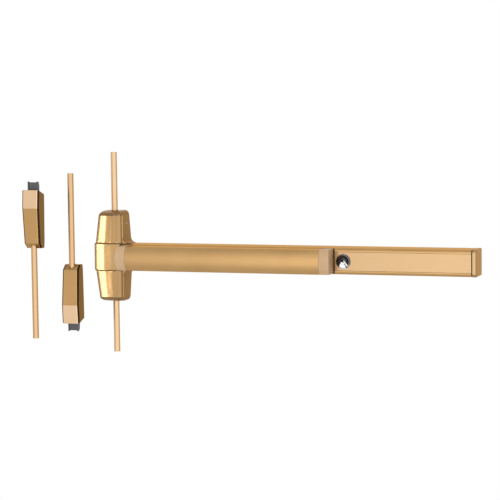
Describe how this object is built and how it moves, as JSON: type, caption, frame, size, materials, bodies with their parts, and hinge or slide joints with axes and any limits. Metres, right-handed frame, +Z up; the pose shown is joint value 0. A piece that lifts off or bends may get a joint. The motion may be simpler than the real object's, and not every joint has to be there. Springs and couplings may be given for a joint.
{
  "type": "vertical rod exit device",
  "caption": "Door exit device: a sprung push bar works a centre case that draws two vertical rods and their latch bolts; shown with its rods cut short.",
  "frame": {"origin": "on the door's face, behind the middle of the centre case, on the line of the vertical rods", "axes": "+X along the push bar away from the centre case, +Y into the door, +Z up"},
  "size_m": [1.0541, 0.097, 0.449],
  "materials": {
    "bronze_case": "satin anodised bronze, brushed along the bar",
    "bronze_cover": "satin bronze plate on a casting",
    "bronze_rod": "pale satin bronze plate",
    "moulded_end": "fine matte moulded",
    "steel": "zinc plated",
    "spring_steel": "drawn wire",
    "bolt_steel": "dark sintered steel",
    "chrome": "polished"
  },
  "bodies": {
    "root": {"base_plate": "steel", "crank_pin_upper": "steel", "crank_pin_lower": "steel", "center_case_cover": "bronze_cover", "cover_screw_upper": "steel", "cover_screw_lower": "steel", "mechanism_case": "bronze_case", "crank_bracket_left": "steel", "crank_bracket_right": "steel", "bell_crank_pin_left": "steel", "bell_crank_pin_right": "steel", "cover_plate": "bronze_case", "lock_cylinder": "chrome", "cylinder_collar": "chrome", "end_cap": "bronze_cover", "end_cap_bracket": "steel", "end_cap_screw": "steel", "top_latch_cover": "bronze_cover", "top_latch_frame": "steel", "top_latch_screw": "steel", "bottom_latch_cover": "bronze_cover", "bottom_latch_frame": "steel", "bottom_latch_screw": "steel", "top_rod_spring": "spring_steel", "bottom_rod_spring": "spring_steel", "top_bolt_spring": "spring_steel", "bottom_bolt_spring": "spring_steel"},
    "bar": {"push_bar": "bronze_case", "push_bar_end_left": "moulded_end", "push_bar_end_right": "moulded_end", "push_bar_bracket_left": "steel", "push_bar_bracket_right": "steel"},
    "bell_left": {"bell_crank_left": "steel"},
    "bell_right": {"bell_crank_right": "steel"},
    "link": {"link_rod": "steel", "main_slide": "steel", "link_pin": "steel"},
    "crank_upper": {"rod_crank_upper": "steel"},
    "crank_lower": {"rod_crank_lower": "steel"},
    "rod_top": {"top_rod": "bronze_rod", "top_rod_yoke": "steel", "top_rod_collar": "steel"},
    "rod_bottom": {"bottom_rod": "bronze_rod", "bottom_rod_yoke": "steel", "bottom_rod_collar": "steel"},
    "bolt_top": {"top_bolt": "bolt_steel", "top_rod_coupler": "steel", "top_latch_rod": "bronze_rod"},
    "bolt_bottom": {"bottom_bolt": "bolt_steel", "bottom_rod_coupler": "steel", "bottom_latch_rod": "bronze_rod"},
    "key": {"key_plug": "chrome", "cylinder_cam": "steel"}
  },
  "joints": [
    {"name": "push_bar_press", "type": "slide", "parent": "root", "child": "bar", "axis": [0, 1, 0], "range_m": [0, 0.019], "stiffness_N_per_m": 500, "springref_m": -0.03},
    {"name": "bell_left_turn", "type": "hinge", "parent": "root", "child": "bell_left", "pos_m": [0.11, -0.03076, 0], "axis": [0, 0, 1], "range_deg": [0, 37.01]},
    {"name": "bell_right_turn", "type": "hinge", "parent": "root", "child": "bell_right", "pos_m": [0.4, -0.03076, 0], "axis": [0, 0, 1], "range_deg": [0, 37.01]},
    {"name": "link_pull", "type": "slide", "parent": "root", "child": "link", "axis": [-1, 0, 0], "range_m": [0, 0.01]},
    {"name": "crank_upper_turn", "type": "hinge", "parent": "root", "child": "crank_upper", "pos_m": [-0.01898, -0.015, 0.034], "axis": [0, 1, 0], "range_deg": [0, 58.01]},
    {"name": "crank_lower_turn", "type": "hinge", "parent": "root", "child": "crank_lower", "pos_m": [-0.01898, -0.015, -0.034], "axis": [0, -1, 0], "range_deg": [0, 58.01]},
    {"name": "top_rod_draw", "type": "slide", "parent": "root", "child": "rod_top", "axis": [0, 0, -1], "range_m": [0, 0.0184], "deforming": ["top_rod_spring"]},
    {"name": "bottom_rod_draw", "type": "slide", "parent": "root", "child": "rod_bottom", "axis": [0, 0, 1], "range_m": [0, 0.0184], "deforming": ["bottom_rod_spring"]},
    {"name": "top_bolt_draw", "type": "slide", "parent": "root", "child": "bolt_top", "axis": [0, 0, -1], "range_m": [0, 0.0184], "deforming": ["top_bolt_spring"]},
    {"name": "bottom_bolt_draw", "type": "slide", "parent": "root", "child": "bolt_bottom", "axis": [0, 0, 1], "range_m": [0, 0.0184], "deforming": ["bottom_bolt_spring"]},
    {"name": "key_turn", "type": "hinge", "parent": "root", "child": "key", "pos_m": [0.5441, -0.0606, 0], "axis": [0, -1, 0], "range_deg": [0, 90]}
  ],
  "couplings": [
    {"joint": "bell_left_turn", "follows": "push_bar_press", "rad_per_m": 33.988},
    {"joint": "bell_right_turn", "follows": "push_bar_press", "rad_per_m": 33.988},
    {"joint": "link_pull", "follows": "push_bar_press", "ratio": 0.52632},
    {"joint": "crank_upper_turn", "follows": "push_bar_press", "rad_per_m": 53.278},
    {"joint": "crank_lower_turn", "follows": "push_bar_press", "rad_per_m": 53.278},
    {"joint": "top_rod_draw", "follows": "push_bar_press", "ratio": 0.96842},
    {"joint": "bottom_rod_draw", "follows": "push_bar_press", "ratio": 0.96842},
    {"joint": "top_bolt_draw", "follows": "push_bar_press", "ratio": 0.96842},
    {"joint": "bottom_bolt_draw", "follows": "push_bar_press", "ratio": 0.96842}
  ]
}
